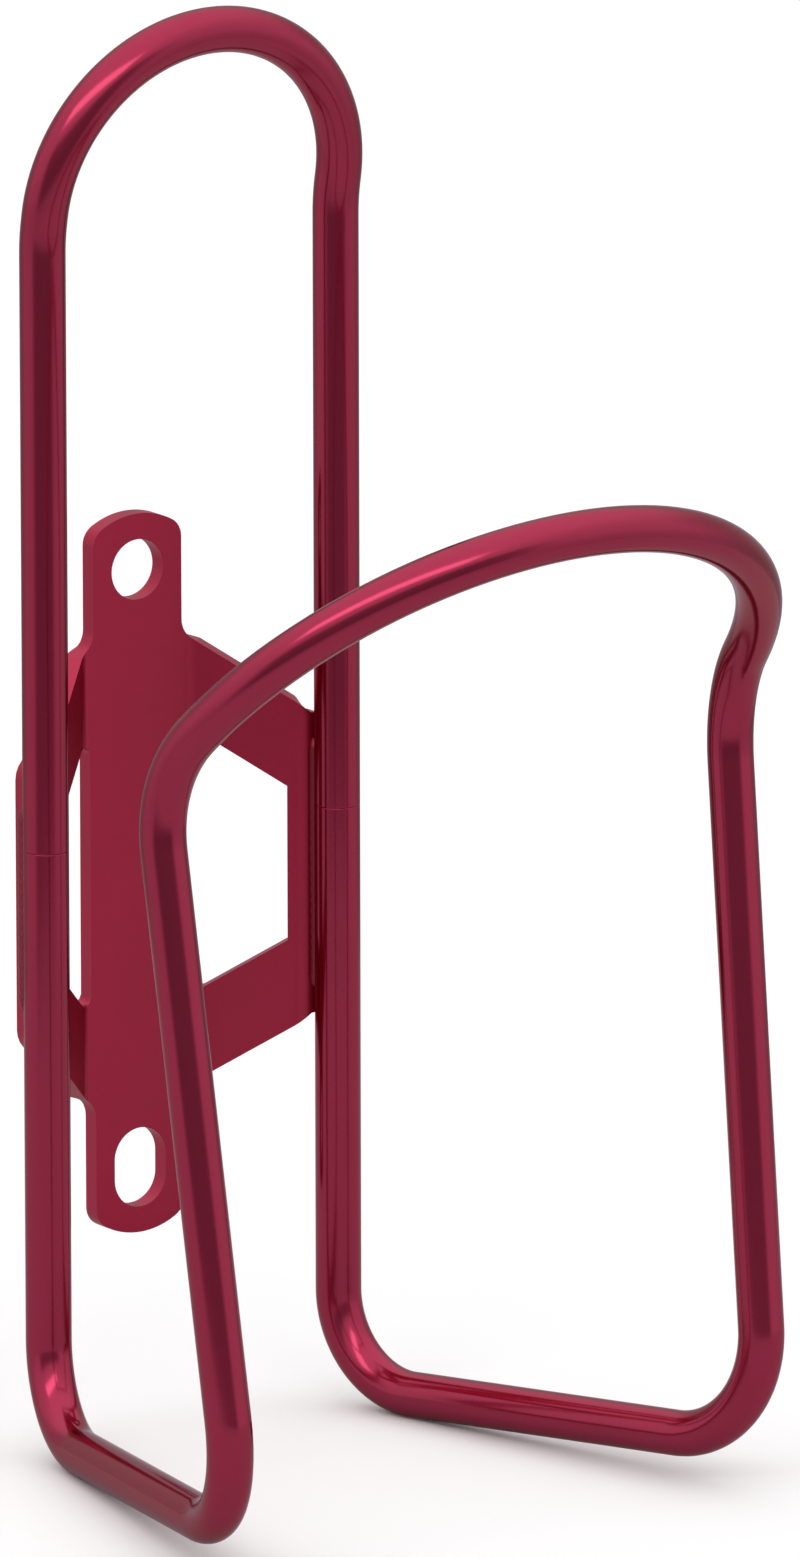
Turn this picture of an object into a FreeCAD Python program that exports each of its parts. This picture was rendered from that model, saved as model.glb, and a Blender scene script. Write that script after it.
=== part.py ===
"""Water bottle cage: two bent aluminium rods joined end to end, on a stamped mounting plate.

Frame: +Z up, +Y towards the bicycle tube, the bottle stands on the -Y side. The origin is on the
plate's back face, midway between the two bolt holes. Millimetres.
"""
import FreeCAD, Part
import math
import os

import Sketcher

SHEET = "sizes"

# Every driving size of the cage, in millimetres and degrees.
SIZES = {
    # the rod
    "rod_diameter": 4.8,
    "rod_setback": 12.0,
    "rail_spacing": 36.4,
    "rod_joint_height": 6.5,
    # the rear arch
    "arch_kink_height": 71.1,
    "arch_kink_radius": 18.0,
    "arch_run": 0.7,
    "arch_tilt": 11.4,
    # the front loop: corner points of the bent rod, measured from the rails' plane
    "rear_corner_height": -56.0,
    "rear_bend_radius": 9.8,
    "front_corner_half_width": 32.7,
    "front_corner_reach": 57.2,
    "front_corner_height": -52.4,
    "front_bend_radius": 11.6,
    "leg_top_half_width": 35.3,
    "leg_top_reach": 46.1,
    "leg_top_height": 25.2,
    "leg_top_radius": 14.7,
    "hoop_reach": 71.4,
    "hoop_height": 50.8,
    # the mounting plate
    "sheet_thickness": 2.0,
    "bolt_spacing": 64.0,
    "bolt_hole_diameter": 6.4,
    "slot_length": 8.5,
    "tab_width": 11.0,
    "tab_end_margin": 4.05,
    "tab_crown": 1.9,
    "tab_corner_radius": 2.2,
    "spine_width": 12.0,
    "shoulder_height": 24.8,
    "shoulder_radius": 2.5,
    "window_half_height": 14.8,
    "window_corner_radius": 0.9,
    "arm_fall": 38.7,
    "arm_end_reach": 1.85,
    "joggle_inner_margin": 0.8,
    "joggle_outer_margin": 2.6,
    "bend_radius": 1.6,
    "saddle_inner_reach": 4.05,
    "saddle_overhang": 1.1,
    "saddle_corner_radius": 2.8,
    "seat_depth": 0.4,
    # the weld fillets between the rails and the saddles
    "weld_radius": 0.9,
    "outer_weld_length": 22.0,
    "inner_weld_length": 27.0,
}

# Two lengths within this of each other, in millimetres, count as the same.
SAME_LENGTH = 1e-6
# An edge this close to a stated corner line, in millimetres, is the edge at that corner.
EDGE_REACH = 0.02
# The cosine above which two directions count as parallel.
PARALLEL = 0.9999
# The largest share by which a rod's volume may differ from its section times its length.
VOLUME_SHARE = 0.001
# Every cut takes away more than this volume, in cubic millimetres.
LEAST_CUT = 1e-6
# The hoop's corner settles to its place well within this many rounds.
HOOP_ROUNDS = 60

doc = FreeCAD.newDocument("bottle_cage")


def make_sheet():
    """The spreadsheet that holds the driving sizes, one alias for each."""
    sheet = doc.addObject("Spreadsheet::Sheet", SHEET)
    for row, (alias, value) in enumerate(SIZES.items(), start=1):
        sheet.set(f"A{row}", alias)
        sheet.set(f"B{row}", str(value))
        sheet.setAlias(f"B{row}", alias)
    doc.recompute()
    return sheet


sheet = make_sheet()


def size(alias):
    """One driving size, as a number."""
    return float(sheet.get(alias))


def cell(text):
    """An expression in which each word in {braces} is a cell of the sheet."""
    return text.replace("{", SHEET + ".").replace("}", "")


# ---------------------------------------------------------------- the bent rods


def mirrored(points):
    """The same corner points on the other side, in reverse order."""
    return [FreeCAD.Vector(-p.x, p.y, p.z) for p in reversed(points)]


def turn_at(before, corner, after):
    """The angle in radians by which the rod turns at a corner."""
    return (corner - before).getAngle(after - corner)


def bent_rod(points, radii, diameter):
    """A round rod along straight runs joined by tangent bends, one radius for each inner corner."""
    position = points[0]
    direction = (points[1] - points[0]).normalize()
    pieces = []
    length = 0.0

    def disc():
        circle = Part.Circle(position, direction, diameter / 2)
        return Part.Face(Part.Wire(circle.toShape()))

    for before, corner, after, radius in zip(points, points[1:], points[2:], radii):
        incoming = (corner - before).normalize()
        outgoing = (after - corner).normalize()
        turn = incoming.getAngle(outgoing)
        run = (corner - incoming * (radius * math.tan(turn / 2))) - position
        if run.Length > SAME_LENGTH:
            pieces.append(disc().extrude(run))
            length += run.Length
            position = position + run
            direction = incoming
        axis = incoming.cross(outgoing).normalize()
        centre = position + axis.cross(incoming) * radius
        pieces.append(disc().revolve(centre, axis, math.degrees(turn)))
        length += radius * turn
        position = corner + outgoing * (radius * math.tan(turn / 2))
        direction = outgoing
    last_run = points[-1] - position
    pieces.append(disc().extrude(last_run))
    length += last_run.Length
    rod = pieces[0].fuse(pieces[1:]).removeSplitter()
    expected = math.pi * diameter**2 / 4 * length
    if abs(rod.Volume - expected) > VOLUME_SHARE * expected:
        raise RuntimeError(f"rod volume {rod.Volume:.1f}, expected {expected:.1f}")
    return rod


def rod_feature(name, points, radii):
    """A rod whose corner points are measured from the rails' plane."""
    rod = doc.addObject("Part::Feature", name)
    rod.Label = name
    rod.Shape = bent_rod(points, radii, size("rod_diameter"))
    setback = FreeCAD.Vector(0, -size("rod_setback"), 0)
    rod.Placement = FreeCAD.Placement(setback, FreeCAD.Rotation())
    return rod


def make_arch_rod():
    """The rear arch and the upper part of both rails. It leans forward above the kink."""
    half = size("rail_spacing") / 2
    tilt = math.radians(size("arch_tilt"))
    kink_radius = size("arch_kink_radius")
    joint = FreeCAD.Vector(half, 0, size("rod_joint_height"))
    kink = FreeCAD.Vector(half, 0, size("arch_kink_height"))
    rise = kink_radius * math.tan(tilt / 2) + size("arch_run") + half
    top = kink + FreeCAD.Vector(0, -math.sin(tilt), math.cos(tilt)) * rise
    side = [joint, kink, top]
    bends = [kink_radius, half]
    return rod_feature("arch_rod", side + mirrored(side), bends + bends[::-1])


def hoop_corner(front, leg_top, reach, height, leg_top_radius):
    """The hoop's corner point, placed so that its bend starts where the leg top's bend ends.

    The two halves of the hoop meet at the middle, so the corner's half width is its tangent too.
    """
    half_width = leg_top.x
    for _ in range(HOOP_ROUNDS):
        corner = FreeCAD.Vector(half_width, -reach, height)
        tangent = leg_top_radius * math.tan(turn_at(front, leg_top, corner) / 2)
        rise = (corner - leg_top).Length ** 2 - (leg_top.x - half_width) ** 2
        half_width = (leg_top.x**2 + rise - tangent**2) / (2 * (leg_top.x + tangent))
    return FreeCAD.Vector(half_width, -reach, height)


def make_loop_rod():
    """The lower rails, the bottom runs, the legs and the hoop that closes round the bottle."""
    half = size("rail_spacing") / 2
    joint = FreeCAD.Vector(half, 0, size("rod_joint_height"))
    rear = FreeCAD.Vector(half, 0, size("rear_corner_height"))
    front = FreeCAD.Vector(
        size("front_corner_half_width"),
        -size("front_corner_reach"),
        size("front_corner_height"),
    )
    leg_top = FreeCAD.Vector(
        size("leg_top_half_width"),
        -size("leg_top_reach"),
        size("leg_top_height"),
    )
    leg_top_radius = size("leg_top_radius")
    hoop = hoop_corner(front, leg_top, size("hoop_reach"), size("hoop_height"), leg_top_radius)
    hoop_radius = hoop.x / math.tan(turn_at(leg_top, hoop, mirrored([hoop])[0]) / 2)
    side = [joint, rear, front, leg_top, hoop]
    bends = [
        size("rear_bend_radius"),
        size("front_bend_radius"),
        leg_top_radius,
        hoop_radius,
    ]
    return rod_feature("loop_rod", side + mirrored(side), bends + bends[::-1])


# ---------------------------------------------------------------- sketch helpers

ALONG_Y = FreeCAD.Vector(0, 1, 0)
ALONG_Z = FreeCAD.Vector(0, 0, 1)

# How a constraint names the two ends and the centre of a line or an arc, the sketch's origin
# and its upright axis.
START = 1
END = 2
CENTRE = 3
ORIGIN = (-1, 1)
UPRIGHT_AXIS = -2


def origin_plane(body, role):
    """The body's own plane through the origin that has this role."""
    return next(f for f in body.Origin.OriginFeatures if f.Role == role)


def sketch_on(body, role, name):
    """An empty sketch on one of the body's own planes."""
    sketch = body.newObject("Sketcher::SketchObject", name)
    sketch.AttachmentSupport = (origin_plane(body, role), [""])
    sketch.MapMode = "FlatFace"
    return sketch


def value_of(expression):
    """The present value of an expression, which places the geometry before it is solved."""
    scratch_cell = "D1"
    sheet.set(scratch_cell, "=" + expression.replace("{", "").replace("}", ""))
    sheet.recompute()
    value = float(sheet.get(scratch_cell))
    sheet.clear(scratch_cell)
    return value


def bind(sketch, name, constraint, expression):
    """Add a dimension to a sketch and tie it to the sheet."""
    index = sketch.addConstraint(constraint)
    sketch.renameConstraint(index, name)
    sketch.setExpression(f"Constraints.{name}", cell(expression))


def outline(sketch, name, corners, crowns=None):
    """A closed outline, its corners given as pairs of expressions, anticlockwise.

    crowns maps a side's index to its rise, an expression: that side is an arc that swells outward.
    """
    crowns = crowns or {}
    points = [FreeCAD.Vector(value_of(x), value_of(y), 0) for x, y in corners]
    count = len(points)
    sides = []
    for index, start in enumerate(points):
        end = points[(index + 1) % count]
        if index in crowns:
            chord = (end - start).normalize()
            outward = FreeCAD.Vector(chord.y, -chord.x, 0)
            apex = (start + end) * 0.5 + outward * value_of(crowns[index])
            sides.append(sketch.addGeometry(Part.Arc(start, apex, end), False))
        else:
            sides.append(sketch.addGeometry(Part.LineSegment(start, end), False))
    first_end = []
    for side, point in zip(sides, points):
        starts_here = (sketch.getPoint(side, START) - point).Length < SAME_LENGTH
        first_end.append(START if starts_here else END)
    for index in range(count):
        after = (index + 1) % count
        last_end = END if first_end[index] == START else START
        joint = (sides[index], last_end, sides[after], first_end[after])
        sketch.addConstraint(Sketcher.Constraint("Coincident", *joint))
    for index, (x, y) in enumerate(corners):
        corner = (sides[index], first_end[index])
        point = points[index]
        across = Sketcher.Constraint("DistanceX", *ORIGIN, *corner, point.x)
        bind(sketch, f"{name}_x{index}", across, x)
        upward = Sketcher.Constraint("DistanceY", *ORIGIN, *corner, point.y)
        bind(sketch, f"{name}_y{index}", upward, y)
    for index, rise in crowns.items():
        half_chord = f"abs({corners[index][0]})"
        radius = f"({half_chord})^2 / (2 * {rise}) + {rise} / 2"
        crown = Sketcher.Constraint("Radius", sides[index], value_of(radius))
        bind(sketch, f"{name}_crown{index}", crown, radius)


def circle(sketch, name, x, y, diameter):
    """A circle whose centre and diameter are expressions."""
    centre = FreeCAD.Vector(value_of(x), value_of(y), 0)
    radius = value_of(diameter) / 2
    ring = sketch.addGeometry(Part.Circle(centre, ALONG_Z, radius), False)
    across = Sketcher.Constraint("DistanceX", *ORIGIN, ring, CENTRE, centre.x)
    bind(sketch, f"{name}_x", across, x)
    upward = Sketcher.Constraint("DistanceY", *ORIGIN, ring, CENTRE, centre.y)
    bind(sketch, f"{name}_y", upward, y)
    width = Sketcher.Constraint("Diameter", ring, 2 * radius)
    bind(sketch, f"{name}_size", width, diameter)


def upright_slot(sketch, name, height, width, length):
    """A slot whose ends are round, centred on x = 0 at a height."""
    radius = value_of(width) / 2
    half_run = f"({length} - {width}) / 2"
    top = FreeCAD.Vector(0, value_of(f"{height} + {half_run}"), 0)
    bottom = FreeCAD.Vector(0, value_of(f"{height} - {half_run}"), 0)
    across = FreeCAD.Vector(radius, 0, 0)
    upper_arc = Part.ArcOfCircle(Part.Circle(top, ALONG_Z, radius), 0, math.pi)
    lower_arc = Part.ArcOfCircle(Part.Circle(bottom, ALONG_Z, radius), math.pi, 2 * math.pi)
    upper = sketch.addGeometry(upper_arc, False)
    left = sketch.addGeometry(Part.LineSegment(top - across, bottom - across), False)
    lower = sketch.addGeometry(lower_arc, False)
    right = sketch.addGeometry(Part.LineSegment(bottom + across, top + across), False)
    around = [upper, left, lower, right]
    for one, other in zip(around, around[1:] + around[:1]):
        sketch.addConstraint(Sketcher.Constraint("Tangent", one, END, other, START))
    sketch.addConstraint(Sketcher.Constraint("Vertical", left))
    sketch.addConstraint(Sketcher.Constraint("PointOnObject", upper, CENTRE, UPRIGHT_AXIS))
    half_width = Sketcher.Constraint("Radius", upper, radius)
    bind(sketch, f"{name}_width", half_width, f"{width} / 2")
    top_height = Sketcher.Constraint("DistanceY", *ORIGIN, upper, CENTRE, top.y)
    bind(sketch, f"{name}_top", top_height, f"{height} + {half_run}")
    bottom_height = Sketcher.Constraint("DistanceY", *ORIGIN, lower, CENTRE, bottom.y)
    bind(sketch, f"{name}_bottom", bottom_height, f"{height} - {half_run}")


def cut_through(body, sketch, name):
    """A pocket through the whole body, both ways from the sketch. It has to take material away."""
    doc.recompute()
    before = body.Tip.Shape.Volume
    pocket = body.newObject("PartDesign::Pocket", name)
    pocket.Profile = sketch
    pocket.Type = "ThroughAll"
    pocket.Midplane = True
    sketch.Visibility = False
    doc.recompute()
    if pocket.Shape.Volume > before - LEAST_CUT:
        raise RuntimeError(f"{name} cuts nothing")
    return pocket


def round_edges(body, name, radius, chosen):
    """A fillet on the body's edges for which chosen(edge) is true."""
    doc.recompute()
    base = body.Tip
    names = [f"Edge{n}" for n, edge in enumerate(base.Shape.Edges, start=1) if chosen(edge)]
    if not names:
        raise RuntimeError(f"{name} finds no edge")
    fillet = body.newObject("PartDesign::Fillet", name)
    fillet.Base = (base, names)
    fillet.setExpression("Radius", cell(radius))
    doc.recompute()
    return fillet


def is_along(edge, axis):
    """True for a straight edge parallel to an axis."""
    return isinstance(edge.Curve, Part.Line) and abs(edge.Curve.Direction.dot(axis)) > PARALLEL


def edge_near(edge, axis, places):
    """True for an edge along an axis that passes one of the places."""
    if not is_along(edge, axis):
        return False
    middle = (edge.Vertexes[0].Point + edge.Vertexes[-1].Point) * 0.5
    offsets = [middle - place for place in places]
    return any((offset - axis * offset.dot(axis)).Length < EDGE_REACH for offset in offsets)


# ---------------------------------------------------------------- the mounting plate

RAIL_X = "{rail_spacing} / 2"
PLATE_EDGE = "({rail_spacing} / 2 + {saddle_overhang})"
BLANK_EDGE = "({rail_spacing} / 2 + {saddle_overhang} + {sheet_thickness})"
SADDLE_FRONT = "({rod_diameter} / 2 - {seat_depth} - {rod_setback})"
SADDLE_BACK = f"({SADDLE_FRONT} + {{sheet_thickness}})"
JOGGLE_START = "({spine_width} / 2 + {joggle_inner_margin})"
JOGGLE_END = "({rail_spacing} / 2 - {joggle_outer_margin})"
JOGGLE_ANGLE = f"atan((-{{sheet_thickness}} - {SADDLE_FRONT}) / ({JOGGLE_END} - {JOGGLE_START}))"
# The back of the sheet bends this much further out than the front.
BACK_SHIFT = f"({{sheet_thickness}} * tan({JOGGLE_ANGLE} / 2))"
TAB_EDGE = "({tab_width} / 2)"
UPPER_CHORD = "({bolt_spacing} / 2 + {tab_end_margin})"
# The lower tab is longer by as much as the slot is longer than the round hole, on one side.
LOWER_CHORD = f"({UPPER_CHORD} + ({{slot_length}} - {{bolt_hole_diameter}}) / 2)"
SPINE_EDGE = "({spine_width} / 2)"
WINDOW_EDGE = "({rail_spacing} / 2 - {saddle_inner_reach})"
ARM_SLOPE = "tan({arm_fall})"
# The arms' outer edges fall towards the rails and level out where the saddles begin.
ARM_END = "({rail_spacing} / 2 - {arm_end_reach})"
SADDLE_END = f"({{shoulder_height}} - ({ARM_END} - {TAB_EDGE}) * {ARM_SLOPE})"
WINDOW_CORNER = f"({{window_half_height}} - ({WINDOW_EDGE} - {SPINE_EDGE}) * {ARM_SLOPE})"


def both_sides(half):
    """The corners of one half and their mirror images across x = 0, as one round."""
    return half + [(f"-({x})", y) for x, y in reversed(half)]


def plate_section(body):
    """The sheet seen from above: spine, joggles and saddles, drawn with sharp bends."""
    sketch = sketch_on(body, "XY_Plane", "plate_section")
    front = [
        (f"-({JOGGLE_START})", "-{sheet_thickness}"),
        (JOGGLE_START, "-{sheet_thickness}"),
    ]
    right = [
        (JOGGLE_END, SADDLE_FRONT),
        (BLANK_EDGE, SADDLE_FRONT),
        (BLANK_EDGE, SADDLE_BACK),
        (f"{JOGGLE_END} + {BACK_SHIFT}", SADDLE_BACK),
        (f"{JOGGLE_START} + {BACK_SHIFT}", "0 * {sheet_thickness}"),
    ]
    left = [(f"-({x})", y) for x, y in reversed(right)]
    outline(sketch, "section", front + right + left)
    return sketch


def plate_outline(body):
    """The edge of the sheet seen from the front, inside a frame that is cut away."""
    sketch = sketch_on(body, "XZ_Plane", "plate_outline")
    wide = f"({BLANK_EDGE} + {{sheet_thickness}})"
    high = f"({LOWER_CHORD} + {{tab_crown}} + {{sheet_thickness}})"
    outline(sketch, "frame", both_sides([(wide, f"-{high}"), (wide, high)]))
    right = [
        (TAB_EDGE, f"-{LOWER_CHORD}"),
        (TAB_EDGE, "-{shoulder_height}"),
        (ARM_END, f"-{SADDLE_END}"),
        (PLATE_EDGE, f"-{SADDLE_END}"),
        (PLATE_EDGE, SADDLE_END),
        (ARM_END, SADDLE_END),
        (TAB_EDGE, "{shoulder_height}"),
        (TAB_EDGE, UPPER_CHORD),
    ]
    corners = both_sides(right)
    upper_end = len(right) - 1
    lower_end = len(corners) - 1
    outline(sketch, "edge", corners, {upper_end: "{tab_crown}", lower_end: "{tab_crown}"})
    return sketch


def plate_windows(body):
    """The gap on each side between the spine, the two arms and the saddle."""
    sketch = sketch_on(body, "XZ_Plane", "plate_windows")
    right = [
        (SPINE_EDGE, "-{window_half_height}"),
        (WINDOW_EDGE, f"-{WINDOW_CORNER}"),
        (WINDOW_EDGE, WINDOW_CORNER),
        (SPINE_EDGE, "{window_half_height}"),
    ]
    outline(sketch, "right", right)
    outline(sketch, "left", [(f"-({x})", y) for x, y in reversed(right)])
    return sketch


def bend_edges(body):
    """Round the four bends of the sheet, inside and outside."""
    start = value_of(JOGGLE_START)
    end = value_of(JOGGLE_END)
    shift = value_of(BACK_SHIFT)
    inside = [(start, -size("sheet_thickness")), (end + shift, value_of(SADDLE_BACK))]
    outside = [(start + shift, 0), (end, value_of(SADDLE_FRONT))]

    def near(pairs):
        places = [FreeCAD.Vector(side * x, y, 0) for x, y in pairs for side in (1, -1)]
        return lambda edge: edge_near(edge, ALONG_Z, places)

    round_edges(body, "inner_bends", "{bend_radius}", near(inside))
    round_edges(body, "outer_bends", "{bend_radius} + {sheet_thickness}", near(outside))


def corner_edges(body):
    """Round the corners of the sheet's outline and of its windows."""

    def near(x, above, below):
        half = value_of(x)
        heights = [value_of(above), -value_of(below)]
        places = [FreeCAD.Vector(side * half, 0, z) for z in heights for side in (1, -1)]
        return lambda edge: edge_near(edge, ALONG_Y, places)

    tabs = near(TAB_EDGE, UPPER_CHORD, LOWER_CHORD)
    round_edges(body, "tab_corners", "{tab_corner_radius}", tabs)
    shoulders = near(TAB_EDGE, "{shoulder_height}", "{shoulder_height}")
    round_edges(body, "shoulders", "{shoulder_radius}", shoulders)
    saddles = near(PLATE_EDGE, SADDLE_END, SADDLE_END)
    round_edges(body, "saddle_corners", "{saddle_corner_radius}", saddles)
    windows = near(SPINE_EDGE, "{window_half_height}", "{window_half_height}")
    round_edges(body, "window_corners", "{window_corner_radius}", windows)


def make_mount_plate():
    """The stamped plate: a spine with a hole and a slot, four arms and two saddles."""
    body = doc.addObject("PartDesign::Body", "mount_plate")
    body.Label = "mount_plate"
    pad = body.newObject("PartDesign::Pad", "plate_blank")
    pad.Profile = plate_section(body)
    pad.Midplane = True
    pad.setExpression("Length", cell(f"2 * ({LOWER_CHORD} + {{tab_crown}})"))
    bend_edges(body)
    cut_through(body, plate_outline(body), "plate_trim")
    cut_through(body, plate_windows(body), "windows")
    corner_edges(body)
    seats = sketch_on(body, "XY_Plane", "rail_seats_sketch")
    circle(seats, "right", RAIL_X, "-{rod_setback}", "{rod_diameter}")
    circle(seats, "left", f"-({RAIL_X})", "-{rod_setback}", "{rod_diameter}")
    cut_through(body, seats, "rail_seats")
    holes = sketch_on(body, "XZ_Plane", "bolt_holes_sketch")
    circle(holes, "upper", "0 * {bolt_spacing}", "{bolt_spacing} / 2", "{bolt_hole_diameter}")
    upright_slot(holes, "lower", "-{bolt_spacing} / 2", "{bolt_hole_diameter}", "{slot_length}")
    cut_through(body, holes, "bolt_holes")
    return body


# ---------------------------------------------------------------- the welds


def upright_cylinder(name, x, y, radius, height):
    """A cylinder along Z, its middle at height zero."""
    cylinder = doc.addObject("Part::Cylinder", name)
    cylinder.setExpression("Radius", cell(radius))
    cylinder.setExpression("Height", cell(height))
    cylinder.setExpression("Placement.Base.x", cell(x))
    cylinder.setExpression("Placement.Base.y", cell(y))
    cylinder.setExpression("Placement.Base.z", cell(f"-({height}) / 2"))
    return cylinder


def cut_from(name, base, tool):
    """One object with another taken away from it."""
    cut = doc.addObject("Part::Cut", name)
    cut.Base = base
    cut.Tool = tool
    return cut


def make_weld(name, side, edge_x, length, plate):
    """A bead of filler metal in the corner between a rail and the front of its saddle."""
    bead_x = f"{side} * ({edge_x})"
    bead = upright_cylinder(f"{name}_bead", bead_x, SADDLE_FRONT, "{weld_radius}", length)
    rail_x = f"{side} * ({RAIL_X})"
    rail_height = f"{length} + {{rod_diameter}}"
    rail_radius = "{rod_diameter} / 2"
    rail = upright_cylinder(f"{name}_rail", rail_x, "-{rod_setback}", rail_radius, rail_height)
    weld = cut_from(name, cut_from(f"{name}_on_rail", bead, rail), plate)
    weld.Label = name
    return weld


def make_welds(plate):
    """The four beads: on each rail one towards the window and one on the outside."""
    seat_half_width = "sqrt(({rod_diameter} / 2)^2 - ({rod_diameter} / 2 - {seat_depth})^2)"
    inner = f"{RAIL_X} - {seat_half_width}"
    outer = f"{RAIL_X} + min({seat_half_width}; {{saddle_overhang}})"
    welds = []
    for name, side in (("right", 1), ("left", -1)):
        welds.append(make_weld(f"weld_{name}_inner", side, inner, "{inner_weld_length}", plate))
        welds.append(make_weld(f"weld_{name}_outer", side, outer, "{outer_weld_length}", plate))
    return welds


# ---------------------------------------------------------------- build, check and write


def check(parts):
    """Every object of the document is up to date, and every part is a valid solid."""
    doc.recompute()
    for obj in doc.Objects:
        if any(word in obj.State for word in ("Invalid", "Error")):
            raise RuntimeError(f"{obj.Label} is {obj.State}")
    for part in parts:
        shape = part.Shape
        if shape.isNull() or not shape.isValid() or not shape.Solids:
            raise RuntimeError(f"{part.Label} has no valid solid")


plate = make_mount_plate()
parts = [make_arch_rod(), make_loop_rod(), plate] + make_welds(plate)
check(parts)
os.makedirs("parts", exist_ok=True)
for part in parts:
    part.Shape.exportStep(f"parts/{part.Label}.step")
    print(f"{part.Label}: {part.Shape.Volume:.1f} mm3 in {len(part.Shape.Solids)} solid")
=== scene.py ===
import math

import bmesh
import bpy
from bpy.props import FloatProperty, FloatVectorProperty, IntProperty, PointerProperty
from bpy.types import Operator, Panel, PropertyGroup
from mathutils import Matrix, Vector


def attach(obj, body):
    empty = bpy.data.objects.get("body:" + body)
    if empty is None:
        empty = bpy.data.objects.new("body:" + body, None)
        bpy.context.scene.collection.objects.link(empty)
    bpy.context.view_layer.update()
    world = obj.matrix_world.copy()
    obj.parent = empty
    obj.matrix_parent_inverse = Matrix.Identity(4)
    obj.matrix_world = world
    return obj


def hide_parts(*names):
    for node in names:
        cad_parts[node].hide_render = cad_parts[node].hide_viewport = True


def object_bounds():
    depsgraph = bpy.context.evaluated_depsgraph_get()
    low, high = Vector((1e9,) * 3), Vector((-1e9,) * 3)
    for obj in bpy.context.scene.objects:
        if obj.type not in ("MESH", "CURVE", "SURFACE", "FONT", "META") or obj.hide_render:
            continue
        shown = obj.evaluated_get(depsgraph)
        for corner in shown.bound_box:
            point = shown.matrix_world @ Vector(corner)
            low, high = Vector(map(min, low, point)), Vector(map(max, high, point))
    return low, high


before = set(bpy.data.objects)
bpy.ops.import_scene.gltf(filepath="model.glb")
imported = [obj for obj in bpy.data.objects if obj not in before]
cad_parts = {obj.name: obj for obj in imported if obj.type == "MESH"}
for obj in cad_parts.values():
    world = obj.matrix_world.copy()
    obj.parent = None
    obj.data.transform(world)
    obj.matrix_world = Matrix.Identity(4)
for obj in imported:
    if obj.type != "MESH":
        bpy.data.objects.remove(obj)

bl_info = {
    "name": "Water Bottle Cage",
    "version": (1, 0, 0),
    "blender": (4, 5, 0),
    "location": "3D View > Sidebar > Bottle Cage",
    "description": "Bent rods, stamped plate and weld beads of a bicycle bottle cage",
    "category": "Add Mesh",
}

CAD_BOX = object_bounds()
BODY = "root"

# Places closer than this, in metres, are the same.
NEAR = 1e-5
# Vertices closer than this are merged when a solid is closed up.
SAME_POINT = NEAR / 10
# Edges of the flat sheet shorter than this are merged away before it is bent.
SHORT_EDGE = 0.00006

# Degrees between the rings of a bend, and metres between the rings of a straight run.
BEND_STEP = 2.5
RUN_STEP = 0.008
# The hoop's corner settles to its place well within this many rounds.
CORNER_ROUNDS = 60

# Steps round the corners of the windows, of the sheet's outer edge and of the tabs.
WINDOW_CORNER_STEPS = 4
EDGE_CORNER_STEPS = 6
TAB_CORNER_STEPS = 6
# Steps along a tab's curved end, points round a hole, and rows of vertices in a bend.
CROWN_STEPS = 16
HOLE_POINTS = 48
BEND_ROWS = 7
# Steps across a rounded rim.
RIM_STEPS = 3

# A filled outline's edges that turn less than this are dissolved.
FLAT_ANGLE = math.radians(0.1)
# An edge of the sheet that turns more than this is a rim.
RIM_ANGLE = math.radians(60)
# Edges that turn more than this stay sharp.
ROD_SMOOTHING = math.radians(30)
SHEET_SMOOTHING = math.radians(50)
BEAD_SMOOTHING = math.radians(60)
# How strongly the larger faces decide the shading.
ROD_FACE_WEIGHT = 60
SHEET_FACE_WEIGHT = 100

# The facets round a bead, and the rings along it.
BEAD_SIDES = 20
LEAST_RINGS = 8
RINGS_PER_RIPPLE = 4
# A bead's ends taper over this many radii, down to the root of this share.
TAPER_REACH = 1.6
TAPER_FLOOR = 0.06

# The oxide film: the tint of its gloss, and its roughness as a share of the metal's.
FILM_TINT = (0.55, 0.28, 0.38, 1.0)
FILM_ROUGHNESS = 0.7
# Noise cells per metre in the dye's clouds and in the polish, and the grain's height.
CLOUD_SCALE = 90.0
POLISH_SCALE = 700.0
GRAIN_HEIGHT = 0.00003
# The polish varies by this share, up and down.
POLISH_SPREAD = 0.15
# The rims are polished more than the sheet, to this share of its roughness.
RIM_POLISH = 0.8

CAMERA_TARGET = Vector((0.0, -0.042, 0.010))
CAMERA_AZIMUTH = math.radians(34.4)
CAMERA_ELEVATION = math.radians(13.28)
CAMERA_ROLL = math.radians(-0.122)
CAMERA_DISTANCE = 2.25694
CAMERA_SHIFT = (-0.004603, -0.007235)
CAMERA_LENS = 508.67

# The level direction from the cage to the camera, and its opposite.
FRONT = Vector((-0.565, -0.825, 0.0))
BACK = -FRONT

# Brightness of the soft dome by height: the sine of the elevation, then the level.
DOME_LEVELS = (
    (-1.0, 0.50), (-0.77, 0.50), (-0.5, 0.54), (-0.34, 0.60), (-0.2, 0.64), (-0.05, 0.76),
    (0.1, 0.82), (0.34, 0.88), (0.5, 0.96), (0.64, 1.05), (0.77, 1.15), (1.0, 1.22),
)
DOME_TOP = 1.22
# The dark patch in front fades in between these cosines, and out between these heights
# from a middle a little below eye level.
FRONT_FADE = (0.52, 0.80)
EYE_FADE = (0.20, 0.36)
EYE_DROP = 0.03
# The dark patch behind fades in and out in the same way, about eye level.
BACK_FADE = (0.1, 0.7)
BACK_BAND_FADE = (0.30, 0.60)

# The card lies this far above the floor, in metres, and only reflections see it.
CARD_LIFT = 0.0001
CARD_SIDES = 64
CARD_HIDDEN_FROM = ("camera", "diffuse", "shadow", "transmission")

# The softbox: its direction from FRONT, its distance and its width and height.
LAMP_AZIMUTH = math.radians(-15)
LAMP_ELEVATION = math.radians(42)
LAMP_DISTANCE = 1.2
LAMP_SIZE = (1.56, 0.34)


# ------------------------------------------------------------------ sizes and colours


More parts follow.
